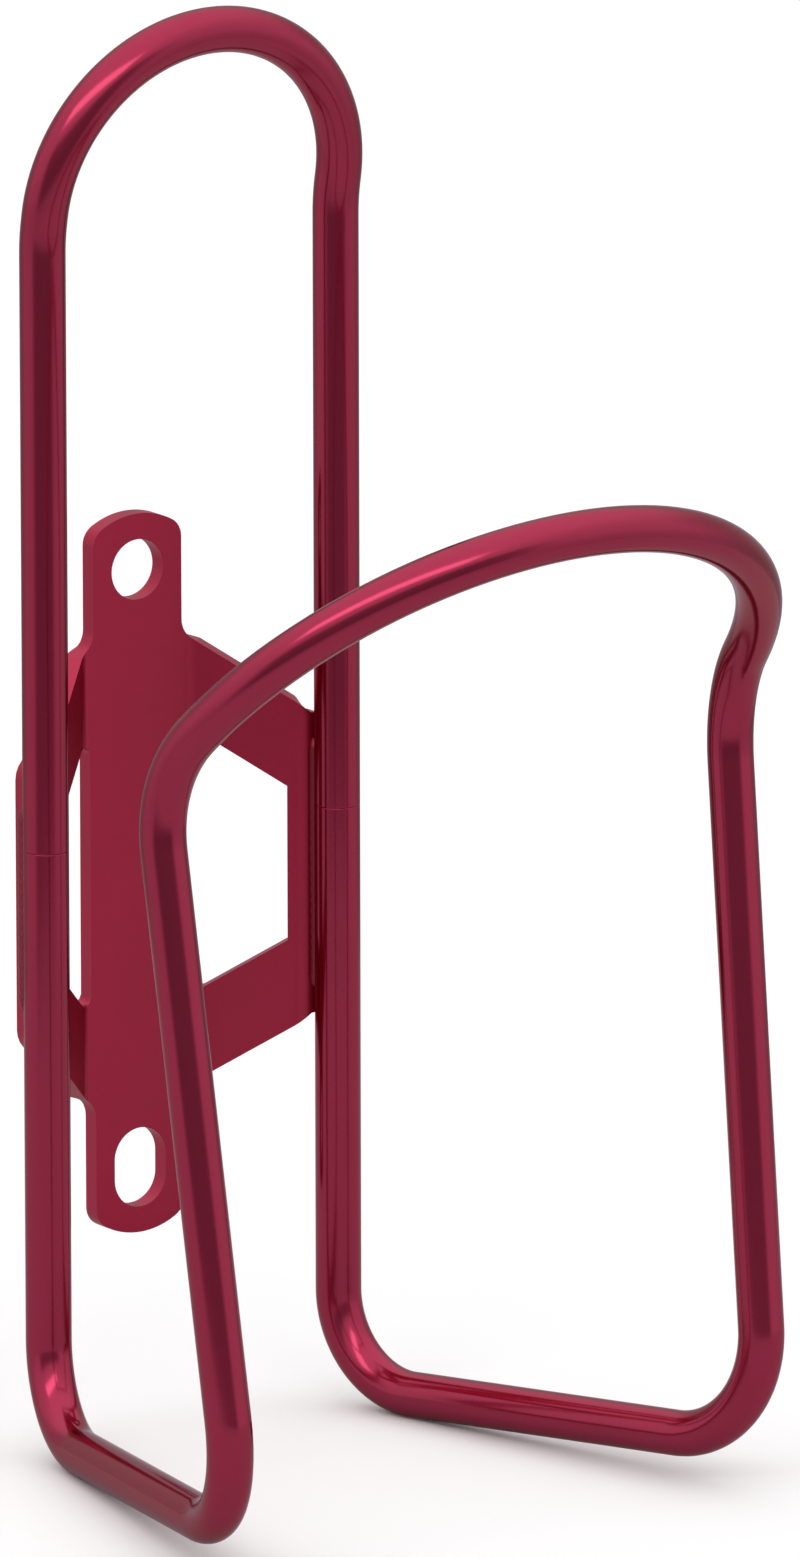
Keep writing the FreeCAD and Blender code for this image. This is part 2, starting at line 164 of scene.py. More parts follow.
class CageRodSizes(PropertyGroup):
    """The bent rods"""

    diameter: FloatProperty(
        name="Rod diameter", description="Thickness of the aluminium rod",
        default=0.0048, min=0.002, unit="LENGTH", precision=5)
    rail_spacing: FloatProperty(
        name="Rail spacing", description="Distance between the two rails' centre lines",
        default=0.0364, min=0.01, unit="LENGTH", precision=5)
    setback: FloatProperty(
        name="Setback", description="Rail centre line to the plate's back face",
        default=0.012, min=0.0, unit="LENGTH", precision=5)
    joint_height: FloatProperty(
        name="Joint height", description="Height at which the two rods meet end to end",
        default=0.0065, unit="LENGTH", precision=5)
    end_chamfer: FloatProperty(
        name="End chamfer", description="Rounding of each rod's cut end",
        default=0.0001, min=0.0, unit="LENGTH", precision=5)
    kink_height: FloatProperty(
        name="Kink height", description="Height at which the arch starts to lean forward",
        default=0.0711, unit="LENGTH", precision=5)
    kink_radius: FloatProperty(
        name="Kink radius", description="Bend radius of the lean",
        default=0.018, min=0.003, unit="LENGTH", precision=5)
    arch_run: FloatProperty(
        name="Arch run", description="Straight run between the kink and the arch",
        default=0.0007, min=0.0001, unit="LENGTH", precision=5)
    tilt: FloatProperty(
        name="Arch tilt", description="Forward lean of the arch",
        default=math.radians(11.4), unit="ROTATION")
    rear_corner_height: FloatProperty(
        name="Rear corner height", description="Height of the rails' lower corner",
        default=-0.056, unit="LENGTH", precision=5)
    rear_radius: FloatProperty(
        name="Rear bend radius", description="Bend radius at the rails' lower end",
        default=0.0098, min=0.003, unit="LENGTH", precision=5)
    front_corner: FloatVectorProperty(
        name="Front corner", description="Lower front corner of the right leg",
        default=(0.0327, -0.0692, -0.0524), subtype="TRANSLATION", precision=5)
    front_radius: FloatProperty(
        name="Front bend radius", description="Bend radius at the legs' lower end",
        default=0.0116, min=0.003, unit="LENGTH", precision=5)
    leg_top: FloatVectorProperty(
        name="Leg top", description="Upper corner of the right leg",
        default=(0.0353, -0.0581, 0.0252), subtype="TRANSLATION", precision=5)
    leg_top_radius: FloatProperty(
        name="Leg top radius", description="Bend radius at the legs' upper end",
        default=0.0147, min=0.003, unit="LENGTH", precision=5)
    hoop_depth: FloatProperty(
        name="Hoop depth", description="The hoop's front, from the plate's back face",
        default=0.0834, unit="LENGTH", precision=5)
    hoop_height: FloatProperty(
        name="Hoop height", description="Height of the hoop's front",
        default=0.0508, unit="LENGTH", precision=5)
    sides: IntProperty(
        name="Sides", description="Facets round the rod", default=48, min=12, max=96)


class CagePlateSizes(PropertyGroup):
    """The stamped mounting plate"""

    thickness: FloatProperty(
        name="Sheet thickness", description="Thickness of the stamped sheet",
        default=0.002, min=0.0005, unit="LENGTH", precision=5)
    bolt_spacing: FloatProperty(
        name="Bolt spacing", description="Distance between the two bolt holes",
        default=0.064, min=0.03, unit="LENGTH", precision=5)
    hole_diameter: FloatProperty(
        name="Hole diameter", description="Width of the round hole and of the slot",
        default=0.0064, min=0.002, unit="LENGTH", precision=5)
    slot_length: FloatProperty(
        name="Slot length", description="Length of the lower slot",
        default=0.0085, min=0.002, unit="LENGTH", precision=5)
    tab_width: FloatProperty(
        name="Tab width", description="Width of the tabs that hold the bolts",
        default=0.011, min=0.004, unit="LENGTH", precision=5)
    tab_margin: FloatProperty(
        name="Tab margin", description="Upper bolt hole's centre to the tab's corners",
        default=0.00405, min=0.001, unit="LENGTH", precision=5)
    tab_crown: FloatProperty(
        name="Tab crown", description="Rise of the tab's curved end",
        default=0.0019, min=0.0, unit="LENGTH", precision=5)
    tab_corner_radius: FloatProperty(
        name="Tab corner radius", description="Rounding of the tabs' corners",
        default=0.0022, min=0.0, unit="LENGTH", precision=5)
    spine_width: FloatProperty(
        name="Spine width", description="Width of the upright middle of the plate",
        default=0.012, min=0.004, unit="LENGTH", precision=5)
    shoulder_height: FloatProperty(
        name="Shoulder height", description="Height at which the arms leave the tab",
        default=0.0248, min=0.005, unit="LENGTH", precision=5)
    shoulder_radius: FloatProperty(
        name="Shoulder radius", description="Rounding between the tab and the arm",
        default=0.0025, min=0.0, unit="LENGTH", precision=5)
    window_half_height: FloatProperty(
        name="Window half height", description="Half the window's height beside the spine",
        default=0.0148, min=0.002, unit="LENGTH", precision=5)
    window_corner_radius: FloatProperty(
        name="Window corner radius", description="Rounding of the window's corners",
        default=0.0009, min=0.0, unit="LENGTH", precision=5)
    arm_fall: FloatProperty(
        name="Arm fall", description="Slope of the arms towards the rails",
        default=math.radians(38.7), unit="ROTATION")
    arm_end_reach: FloatProperty(
        name="Arm end reach", description="Rail centre line to where the arm's edge levels out",
        default=0.00185, min=0.0, unit="LENGTH", precision=5)
    saddle_inner_reach: FloatProperty(
        name="Saddle inner reach", description="Rail centre line to the window's edge",
        default=0.00405, min=0.0, unit="LENGTH", precision=5)
    saddle_overhang: FloatProperty(
        name="Saddle overhang", description="How far the saddle passes the rail's centre line",
        default=0.0011, min=0.0, unit="LENGTH", precision=5)
    saddle_corner_radius: FloatProperty(
        name="Saddle corner radius", description="Rounding of the saddles' corners",
        default=0.0028, min=0.0, unit="LENGTH", precision=5)
    saddle_depth: FloatProperty(
        name="Saddle depth", description="The saddle's front, from the plate's back face",
        default=0.010, min=0.002, unit="LENGTH", precision=5)
    joggle_start: FloatProperty(
        name="Joggle start", description="Where the sheet starts to bend forward",
        default=0.0068, min=0.0, unit="LENGTH", precision=5)
    joggle_end: FloatProperty(
        name="Joggle end", description="Where the sheet ends its bend",
        default=0.0156, min=0.0, unit="LENGTH", precision=5)
    bend_radius: FloatProperty(
        name="Bend radius", description="Inner radius of the sheet's bends",
        default=0.0016, min=0.0, unit="LENGTH", precision=5)
    rim_radius: FloatProperty(
        name="Rim radius", description="Rounding that tumbling leaves on the sheet's edges",
        default=0.00035, min=0.0, unit="LENGTH", precision=5)


class CageWeldSizes(PropertyGroup):
    """The weld beads"""

    radius: FloatProperty(
        name="Bead radius", description="Radius of the weld bead",
        default=0.0009, min=0.0002, unit="LENGTH", precision=5)
    inner_length: FloatProperty(
        name="Inner bead length", description="Bead on the window's side of the rail",
        default=0.027, min=0.002, unit="LENGTH", precision=5)
    outer_length: FloatProperty(
        name="Outer bead length", description="Bead on the outer side of the rail",
        default=0.022, min=0.002, unit="LENGTH", precision=5)
    seat_depth: FloatProperty(
        name="Seat depth", description="How deep the rail lies in its saddle",
        default=0.0004, min=0.0, unit="LENGTH", precision=5)
    ripple_pitch: FloatProperty(
        name="Ripple pitch", description="Distance between the bead's ripples",
        default=0.0011, min=0.0002, unit="LENGTH", precision=5)
    ripple_depth: FloatProperty(
        name="Ripple depth", description="Share of the radius that a ripple takes",
        default=0.10, min=0.0, max=0.5)


class CageFinish(PropertyGroup):
    """Colours and polish of the metal"""

    rod_colour: FloatVectorProperty(
        name="Rod colour", description="Dye of the anodised rods",
        subtype="COLOR", size=3, min=0, max=1, default=(0.36, 0.011, 0.055))
    plate_colour: FloatVectorProperty(
        name="Plate colour", description="Dye of the anodised plate",
        subtype="COLOR", size=3, min=0, max=1, default=(0.45, 0.010, 0.056))
    # The rims' paler colour is a painted highlight: it stands for the bright lines that the rounded
    # edges catch.
    rim_highlight_colour: FloatVectorProperty(
        name="Rim colour", description="Paler dye on the sheet's rounded edges",
        subtype="COLOR", size=3, min=0, max=1, default=(0.56, 0.03, 0.10))
    weld_colour: FloatVectorProperty(
        name="Weld colour", description="Darker dye on the filler metal",
        subtype="COLOR", size=3, min=0, max=1, default=(0.27, 0.012, 0.035))
    rod_roughness: FloatProperty(
        name="Rod roughness", description="Polish of the drawn rod", default=0.2, min=0, max=1)
    plate_roughness: FloatProperty(
        name="Plate roughness", description="Polish of the tumbled sheet",
        default=0.42, min=0, max=1)


class CageStudio(PropertyGroup):
    """Floor, card and lights"""

    floor_colour: FloatVectorProperty(
        name="Floor colour", description="Pale studio floor",
        subtype="COLOR", size=3, min=0, max=1, default=(0.96, 0.96, 0.96))
    floor_size: FloatProperty(
        name="Floor size", description="Side of the square floor",
        default=12.0, min=1.0, unit="LENGTH")
    card_radius: FloatProperty(
        name="Card radius", description="Reach of the card that the rods mirror from below",
        default=0.23, min=0.05, unit="LENGTH")
    card_colour: FloatVectorProperty(
        name="Card colour", description="Grey of the card that the rods mirror from below",
        subtype="COLOR", size=3, min=0, max=1, default=(0.54, 0.54, 0.54))
    dome_light: FloatProperty(
        name="Dome light", description="Strength of the soft light all round", default=1.0, min=0.0)
    lamp_power: FloatProperty(
        name="Lamp power", description="Power of the softbox above the front", default=2.9, min=0.0)
    back_shade: FloatProperty(
        name="Back shade", description="How much darker the room is at eye level behind the cage",
        default=0.35, min=0.0, max=1.0)
    front_shade: FloatProperty(
        name="Front shade", description="How much darker the room is at eye level in front of the cage",
        default=0.62, min=0.0, max=1.0)


# ------------------------------------------------------------------ working by hand


def only(piece):
    """Nothing is selected but this piece."""
    bpy.ops.object.select_all(action="DESELECT")
    piece.select_set(True)
    bpy.context.view_layer.objects.active = piece


def named(name):
    """The object just added takes its name, and its place goes into its mesh."""
    piece = bpy.context.object
    piece.name = name
    piece.data.name = name
    bpy.ops.object.transform_apply(location=True, rotation=True, scale=True)
    return piece


def edit(piece):
    """Open this piece alone in edit mode."""
    only(piece)
    bpy.ops.object.mode_set(mode="EDIT")


def leave_edit():
    """Back to object mode."""
    bpy.ops.object.mode_set(mode="OBJECT")


def pick(piece, kind, test):
    """In edit mode, select the vertices, edges or faces for which test is true, one at least."""
    mode = {"verts": "VERT", "edges": "EDGE", "faces": "FACE"}[kind]
    bpy.ops.mesh.select_mode(type=mode)
    bpy.ops.mesh.select_all(action="DESELECT")
    mesh = bmesh.from_edit_mesh(piece.data)
    chosen = [item for item in getattr(mesh, kind) if test(item)]
    if not chosen:
        raise RuntimeError(f"{piece.name}: no {kind} to select")
    for item in chosen:
        item.select = True
    mesh.select_flush_mode()
    bmesh.update_edit_mesh(piece.data)


def face_outwards(piece):
    """Merge a solid's doubles and turn its faces outwards."""
    edit(piece)
    bpy.ops.mesh.select_all(action="SELECT")
    bpy.ops.mesh.remove_doubles(threshold=SAME_POINT)
    bpy.ops.mesh.normals_make_consistent(inside=False)
    leave_edit()


def apply_modifier(piece, kind, **settings):
    """Give a piece a modifier with these settings and apply it."""
    only(piece)
    modifier = piece.modifiers.new(kind.title(), kind)
    for key, value in settings.items():
        setattr(modifier, key, value)
    bpy.ops.object.modifier_apply(modifier=modifier.name)


def smooth(piece, angle):
    """Smooth shading that leaves edges sharper than the angle."""
    only(piece)
    bpy.ops.object.shade_smooth_by_angle(angle=angle)


def check_closed(piece):
    """Stop if an edge of the solid lacks a face on either side."""
    mesh = bmesh.new()
    mesh.from_mesh(piece.data)
    open_edges = sum(not edge.is_manifold for edge in mesh.edges)
    mesh.free()
    if open_edges:
        raise RuntimeError(f"{piece.name} has {open_edges} open edges")


def finish_piece(piece, slot, *nodes):
    """The finished piece stands for its CAD node and rides with the frame."""
    check_closed(piece)
    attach(piece, BODY)
    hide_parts(*nodes)


# ------------------------------------------------------------------ the rods


def bend_rod(name, points, radii, sizes):
    """A rod: one half is drawn from its cut end to the middle, runs extruded and bends spun,
    and then mirrored.
    """
    direction = (points[1] - points[0]).normalized()
    bpy.ops.object.select_all(action="DESELECT")
    bpy.ops.mesh.primitive_circle_add(
        vertices=sizes.sides, radius=sizes.diameter / 2, fill_type="NOTHING",
        location=points[0], rotation=direction.to_track_quat("Z", "X").to_euler())
    rod = named(name)
    edit(rod)
    bpy.ops.mesh.select_all(action="SELECT")
    place = points[0]
    for before, corner, after, radius in zip(points, points[1:], points[2:], radii):
        incoming = (corner - before).normalized()
        outgoing = (after - corner).normalized()
        turn = incoming.angle(outgoing)
        back = radius * math.tan(turn / 2)
        run = corner - incoming * back - place
        if run.length > NEAR:
            extrude_run(run)
        axis = incoming.cross(outgoing).normalized()
        centre = corner - incoming * back + axis.cross(incoming) * radius
        steps = max(2, round(math.degrees(turn) / BEND_STEP))
        bpy.ops.mesh.spin(steps=steps, angle=-turn, center=centre, axis=axis)
        place = corner + outgoing * back
    leave_edit()
    cap_end(rod, points[0], direction, sizes)
    apply_modifier(rod, "MIRROR", use_clip=True, use_mirror_merge=True, merge_threshold=NEAR)
    face_outwards(rod)
    smooth(rod, ROD_SMOOTHING)
    apply_modifier(rod, "WEIGHTED_NORMAL", keep_sharp=True, weight=ROD_FACE_WEIGHT)
    return rod


def extrude_run(run):
    """Draw the selected ring out along a straight run, in even steps."""
    steps = max(1, round(run.length / RUN_STEP))
    for _ in range(steps):
        bpy.ops.mesh.extrude_region_move(TRANSFORM_OT_translate={"value": run / steps})


def cap_end(rod, point, direction, sizes):
    """Close the cut end and round its rim."""
    edit(rod)
    pick(rod, "verts", lambda v: abs((v.co - point).dot(direction)) < NEAR
         and (v.co - point).length < sizes.diameter)
    bpy.ops.mesh.edge_face_add()
    bpy.ops.mesh.bevel(offset=sizes.end_chamfer, segments=RIM_STEPS, affect="EDGES")
    leave_edit()


def arch_points(sizes):
    """The rear arch: corner points of its right half, and each inner corner's radius."""
    half = sizes.rail_spacing / 2
    joint = Vector((half, -sizes.setback, sizes.joint_height))
    kink = Vector((half, -sizes.setback, sizes.kink_height))
    rise = sizes.kink_radius * math.tan(sizes.tilt / 2) + sizes.arch_run + half
    top = kink + Vector((0, -math.sin(sizes.tilt), math.cos(sizes.tilt))) * rise
    return [joint, kink, top, Vector((-top.x, top.y, top.z))], [sizes.kink_radius, half]


def loop_points(sizes):
    """The loop round the bottle: corner points of its right half, and their radii."""
    half = sizes.rail_spacing / 2
    joint = Vector((half, -sizes.setback, sizes.joint_height))
    rear = Vector((half, -sizes.setback, sizes.rear_corner_height))
    front = Vector(sizes.front_corner)
    leg_top = Vector(sizes.leg_top)
    half_width = leg_top.x
    for _ in range(CORNER_ROUNDS):
        hoop = Vector((half_width, -sizes.hoop_depth, sizes.hoop_height))
        turn = (leg_top - front).angle(hoop - leg_top)
        tangent = sizes.leg_top_radius * math.tan(turn / 2)
        rise = (hoop - leg_top).length_squared - (leg_top.x - half_width) ** 2
        half_width = (leg_top.x**2 + rise - tangent**2) / (2 * (leg_top.x + tangent))
    hoop.x = half_width
    other = Vector((-hoop.x, hoop.y, hoop.z))
    hoop_radius = hoop.x / math.tan((hoop - leg_top).angle(other - hoop) / 2)
    radii = [sizes.rear_radius, sizes.front_radius, sizes.leg_top_radius, hoop_radius]
    return [joint, rear, front, leg_top, hoop, other], radii


# ------------------------------------------------------------------ the plate


def rounded(corners, radii, segments):
    """The outline's points, each corner that has a radius rounded."""
    points = []
    count = len(corners)
    for index, corner in enumerate(corners):
        before = corners[index - 1]
        after = corners[(index + 1) % count]
        start = (before - corner).normalized()
        end = (after - corner).normalized()
        radius = radii[index]
        if radius:
            half = start.angle(end) / 2
            reach = radius / math.tan(half)
            centre = corner + (start + end).normalized() * (radius / math.sin(half))
            first = corner + start * reach - centre
            last = corner + end * reach - centre
            turn = first.angle(last)
            for step in range(segments + 1):
                share = step / segments
                points.append(centre + (
                    first * math.sin((1 - share) * turn) + last * math.sin(share * turn)
                ) / math.sin(turn))
        else:
            points.append(corner)
    return points


def ring_of(name, points):
    """A closed ring of edges through the points, each vertex of a circle put in its place."""
    bpy.ops.object.select_all(action="DESELECT")
    bpy.ops.mesh.primitive_circle_add(vertices=len(points), radius=0.01, fill_type="NOTHING")
    ring = named(name)
    for vertex, point in zip(ring.data.vertices, points):
        vertex.co = point
    return ring


def flat(x, z):
    """A point of the sheet before it is bent."""
    return Vector((x, 0.0, z))


def rail_half():
    """From the middle of the cage to a rail's centre line."""
    return bpy.context.scene.cage_rods.rail_spacing / 2


def window_outline(p, side):
    """The window on one side, between the spine, the two arms and the saddle."""
    spine = p.spine_width / 2
    edge = rail_half() - p.saddle_inner_reach
    corner = p.window_half_height - (edge - spine) * math.tan(p.arm_fall)
    corners = [
        flat(side * spine, -p.window_half_height), flat(side * edge, -corner),
        flat(side * edge, corner), flat(side * spine, p.window_half_height),
    ]
    radii = [p.window_corner_radius, 0, 0, p.window_corner_radius]
    return rounded(corners, radii, WINDOW_CORNER_STEPS)


def hole_outline(radius, height, half_run):
    """A round hole, or a slot where half_run is more than nothing."""
    points = []
    for step in range(HOLE_POINTS):
        angle = 2 * math.pi * (step + 0.5) / HOLE_POINTS
        lift = half_run if math.sin(angle) > 0 else -half_run
        points.append(flat(radius * math.cos(angle), height + lift + radius * math.sin(angle)))
    return points


def tab_end(p, chord, edge):
    """Points along the tab's curved end, from the right corner to the left one, rounded there."""
    radius = edge**2 / (2 * p.tab_crown) + p.tab_crown / 2
    centre = flat(0, chord + p.tab_crown - radius)
    small = p.tab_corner_radius
    inner = flat(edge - small, 0)
    inner.z = centre.z + math.sqrt((radius - small) ** 2 - inner.x**2)
    meet = (inner - centre).normalized()
    start = math.atan2(meet.z, meet.x)
    corner = []
    for step in range(TAB_CORNER_STEPS + 1):
        angle = start * step / TAB_CORNER_STEPS
        corner.append(inner + flat(math.cos(angle), math.sin(angle)) * small)
    crown = []
    for step in range(1, CROWN_STEPS):
        angle = start + (math.pi - 2 * start) * step / CROWN_STEPS
        crown.append(centre + flat(math.cos(angle), math.sin(angle)) * radius)
    return corner + crown + [flat(-q.x, q.z) for q in reversed(corner)]


def outer_ring(p):
    """The sheet's outer edge, anticlockwise from the upper right of the tab."""
    edge = p.tab_width / 2
    upper = p.bolt_spacing / 2 + p.tab_margin
    lower = upper + (p.slot_length - p.hole_diameter) / 2
    wide = rail_half() + p.saddle_overhang
    arm_end = rail_half() - p.arm_end_reach
    saddle_end = p.shoulder_height - (arm_end - edge) * math.tan(p.arm_fall)
    side = [
        flat(edge, upper), flat(edge, p.shoulder_height), flat(arm_end, saddle_end),
        flat(wide, saddle_end), flat(wide, -saddle_end), flat(arm_end, -saddle_end),
        flat(edge, -p.shoulder_height), flat(edge, -lower),
    ]
    radii = [0, p.shoulder_radius, 0, p.saddle_corner_radius, p.saddle_corner_radius, 0,
             p.shoulder_radius, 0]
    right = []
    for index in range(1, len(side) - 1):
        around = [side[index - 1], side[index], side[index + 1]]
        right += rounded(around, [0, radii[index], 0], EDGE_CORNER_STEPS)[1:-1]
    left = [flat(-q.x, q.z) for q in right]
    top = tab_end(p, upper, edge)
    bottom = [flat(q.x, -q.z) for q in reversed(tab_end(p, lower, edge))]
    return top + left + bottom + right[::-1]


def joggle_slope(p):
    """The angle at which the sheet leans forward between the spine and a saddle."""
    return math.atan2(p.saddle_depth - p.thickness, p.joggle_end - p.joggle_start)


def bend_height(p, x):
    """Place along Y of the sheet's front face, at x from the middle: spine, joggle, saddle."""
    x = abs(x)
    slope = joggle_slope(p)
    inner = p.bend_radius
    outer = p.bend_radius + p.thickness
    back_in = inner * math.tan(slope / 2)
    back_out = outer * math.tan(slope / 2)
    front = -p.thickness
    if x <= p.joggle_start - back_in:
        return front
    if x <= p.joggle_start + back_in * math.cos(slope):
        along = x - (p.joggle_start - back_in)
        return front - inner + math.sqrt(max(0.0, inner**2 - along**2))
    if x <= p.joggle_end - back_out * math.cos(slope):
        return front - (x - p.joggle_start) * math.tan(slope)
    if x <= p.joggle_end + back_out:
        along = p.joggle_end + back_out - x
        return -p.saddle_depth + outer - math.sqrt(max(0.0, outer**2 - along**2))
    return -p.saddle_depth


def bend_lines(p):
    """Where the sheet gets a row of vertices for its bends."""
    slope = joggle_slope(p)
    lines = []
    for radius, middle, sign in (
        (p.bend_radius, p.joggle_start, 1), (p.bend_radius + p.thickness, p.joggle_end, -1)
    ):
        back = radius * math.tan(slope / 2)
        for step in range(BEND_ROWS + 1):
            angle = slope * step / BEND_ROWS
            lines.append(middle + sign * (radius * math.sin(angle) - back))
    return sorted(lines)


def make_plate(p):
    """Stamp the flat sheet with its openings, bend it, thicken it and round its rims."""
    hole_radius = p.hole_diameter / 2
    slot_half_run = (p.slot_length - p.hole_diameter) / 2
    rings = [
        ring_of("mounting_plate", outer_ring(p)),
        ring_of("window_right", window_outline(p, 1)),
        ring_of("window_left", window_outline(p, -1)),
        ring_of("hole", hole_outline(hole_radius, p.bolt_spacing / 2, 0.0)),
        ring_of("slot", hole_outline(hole_radius, -p.bolt_spacing / 2, slot_half_run)),
    ]
    bpy.ops.object.select_all(action="DESELECT")
    for ring in rings:
        ring.select_set(True)
    plate = rings[0]
    bpy.context.view_layer.objects.active = plate
    bpy.ops.object.join()
    edit(plate)
    bpy.ops.mesh.select_all(action="SELECT")
    bpy.ops.mesh.fill(use_beauty=True)
    bpy.ops.mesh.dissolve_limited(angle_limit=FLAT_ANGLE, use_dissolve_boundaries=False)
    for line in bend_lines(p):
        for side in (1, -1):
            bpy.ops.mesh.select_all(action="SELECT")
            bpy.ops.mesh.bisect(plane_co=(side * line, 0, 0), plane_no=(1, 0, 0), threshold=NEAR)
    bpy.ops.mesh.select_all(action="SELECT")
    bpy.ops.mesh.remove_doubles(threshold=SHORT_EDGE)
    leave_edit()
    for vertex in plate.data.vertices:
        vertex.co.y = bend_height(p, vertex.co.x)
    face_front(plate)
    apply_modifier(plate, "SOLIDIFY", thickness=p.thickness, offset=-1.0,
                   use_even_offset=True, use_quality_normals=True)
    round_rims(plate, p)
    smooth(plate, SHEET_SMOOTHING)
    apply_modifier(plate, "WEIGHTED_NORMAL", keep_sharp=True, weight=SHEET_FACE_WEIGHT)
    return plate


def face_front(plate):
    """The bent sheet's faces look forward, so that its thickness grows backward."""
    edit(plate)
    bpy.ops.mesh.select_all(action="SELECT")
    bpy.ops.mesh.normals_make_consistent(inside=False)
    mesh = bmesh.from_edit_mesh(plate.data)
    if sum(face.normal.y * face.calc_area() for face in mesh.faces) > 0:
        bpy.ops.mesh.flip_normals()
    leave_edit()


def round_rims(plate, p):
    """Round the sheet's edges and give them the plate's second material, a paler colour that is a
    painted highlight.
    """
    edit(plate)
    pick(plate, "edges", lambda e: e.calc_face_angle(0) > RIM_ANGLE)
    bpy.ops.mesh.bevel(offset=p.rim_radius, segments=RIM_STEPS, affect="EDGES", material=1,
                       clamp_overlap=True, loop_slide=True, profile=0.5)
    leave_edit()


# ------------------------------------------------------------------ the welds


def make_bead(name, centre, length, w):
    """A rippled bead, its rings drawn out one after another."""
    rings = max(LEAST_RINGS, round(length / w.ripple_pitch * RINGS_PER_RIPPLE))
    step = length / rings
    bpy.ops.object.select_all(action="DESELECT")
    start = centre - Vector((0, 0, length / 2))
    bpy.ops.mesh.primitive_circle_add(
        vertices=BEAD_SIDES, radius=w.radius, fill_type="NGON", location=start)
    bead = named(name)
    edit(bead)
    bpy.ops.mesh.select_all(action="SELECT")

    def girth(index):
        """The ring's size as a share of the bead's radius."""
        height = index * step
        phase = (height / w.ripple_pitch) % 1.0
        ripple = 1 - w.ripple_depth * (1 - math.sqrt(max(0.0, 1 - (2 * phase - 1) ** 2)))
        end = min(height, length - height) / (TAPER_REACH * w.radius)
        taper = math.sqrt(max(TAPER_FLOOR, 1 - (1 - min(1.0, end)) ** 2))
        return ripple * taper

    size = 1.0
    for index in range(rings + 1):
        place = start + Vector((0, 0, index * step))
        if index:
            bpy.ops.mesh.extrude_region_move(TRANSFORM_OT_translate={"value": (0, 0, step)})
        ratio = girth(index) / size
        bpy.ops.transform.resize(value=(ratio, ratio, 1), center_override=place)
        size = girth(index)
    leave_edit()
    face_outwards(bead)
    smooth(bead, BEAD_SMOOTHING)
    return bead


def mirrored_copy(piece, name):
    """The same piece on the other side, with a mesh of its own."""
    only(piece)
    bpy.ops.object.duplicate()
    copy = bpy.context.object
    copy.name = name
    copy.data.name = name
    bpy.ops.transform.resize(value=(-1, 1, 1), center_override=(0, 0, 0))
    bpy.ops.object.transform_apply(location=True, rotation=True, scale=True)
    face_outwards(copy)
    return copy


# ------------------------------------------------------------------ the finishes


def anodised(name, colour, roughness, grain_size, grain_depth, mottle):
    """Dyed anodised aluminium: a metal under a clear oxide film, with fine grain."""
    material = bpy.data.materials.new(name)
    material.use_nodes = True
    nodes = material.node_tree.nodes
    links = material.node_tree.links
    shader = nodes["Principled BSDF"]
    shader.inputs["Metallic"].default_value = 1.0
    shader.inputs["Specular Tint"].default_value = FILM_TINT
    shader.inputs["Coat Weight"].default_value = 0.6
    shader.inputs["Coat Roughness"].default_value = roughness * FILM_ROUGHNESS
    shader.inputs["Coat IOR"].default_value = 1.5
    coords = nodes.new("ShaderNodeTexCoord")

    def noise(scale, detail):
        node = nodes.new("ShaderNodeTexNoise")
        node.inputs["Scale"].default_value = scale
        node.inputs["Detail"].default_value = detail
        links.new(coords.outputs["Object"], node.inputs["Vector"])
        return node.outputs["Fac"]

    tone = nodes.new("ShaderNodeMix")
    tone.data_type = "RGBA"
    links.new(noise(CLOUD_SCALE, detail=3.0), tone.inputs["Factor"])
    tone.inputs["A"].default_value = (*[c * (1 - mottle) for c in colour], 1.0)
    tone.inputs["B"].default_value = (*[min(1, c * (1 + mottle)) for c in colour], 1.0)
    links.new(tone.outputs["Result"], shader.inputs["Base Color"])
    polish = nodes.new("ShaderNodeMapRange")
    polish.inputs["To Min"].default_value = roughness * (1 - POLISH_SPREAD)
    polish.inputs["To Max"].default_value = roughness * (1 + POLISH_SPREAD)
    links.new(noise(POLISH_SCALE, detail=4.0), polish.inputs["Value"])
    links.new(polish.outputs["Result"], shader.inputs["Roughness"])
    bump = nodes.new("ShaderNodeBump")
    bump.inputs["Strength"].default_value = grain_depth
    bump.inputs["Distance"].default_value = GRAIN_HEIGHT
    links.new(noise(1 / grain_size, detail=3.0), bump.inputs["Height"])
    links.new(bump.outputs["Normal"], shader.inputs["Normal"])
    return material


def matt_paint(name, colour):
    """Plain matt paint."""
    material = bpy.data.materials.new(name)
    material.use_nodes = True
    shader = material.node_tree.nodes["Principled BSDF"]
    shader.inputs["Base Color"].default_value = (*colour, 1.0)
    shader.inputs["Roughness"].default_value = 0.9
    shader.inputs["Specular IOR Level"].default_value = 0.1
    return material


# ------------------------------------------------------------------ operators


class CAGE_OT_rods(Operator):
    """Bend the rear arch and the bottle loop from round rod"""

    bl_idname = "cage.make_rods"
    bl_label = "Make Rods"

    def execute(self, context):
        sizes = context.scene.cage_rods
        finish = context.scene.cage_finish
        metal = anodised("anodised_rod", finish.rod_colour, finish.rod_roughness,
                         grain_size=0.0004, grain_depth=0.10, mottle=0.05)
        for name, (points, radii), node in (
            ("arch_bar", arch_points(sizes), "arch_rod"),
            ("loop_bar", loop_points(sizes), "loop_rod"),
        ):
            rod = bend_rod(name, points, radii, sizes)
            rod.data.materials.append(metal)
            finish_piece(rod, "rod", node)
        return {"FINISHED"}


class CAGE_OT_plate(Operator):
    """Stamp and bend the mounting plate"""

    bl_idname = "cage.make_plate"
    bl_label = "Make Plate"

    def execute(self, context):
        finish = context.scene.cage_finish
        face = anodised("anodised_sheet", finish.plate_colour, finish.plate_roughness,
                        grain_size=0.00035, grain_depth=0.35, mottle=0.06)
        # The rims' material is paler than the sheet's: a painted highlight on the rounded edges.
        rim = anodised("worn_rim", finish.rim_highlight_colour, finish.plate_roughness * RIM_POLISH,
                       grain_size=0.00035, grain_depth=0.2, mottle=0.08)
        plate = make_plate(context.scene.cage_plate)
        plate.data.materials.append(face)
        plate.data.materials.append(rim)
        finish_piece(plate, "plate", "mount_plate")
        return {"FINISHED"}


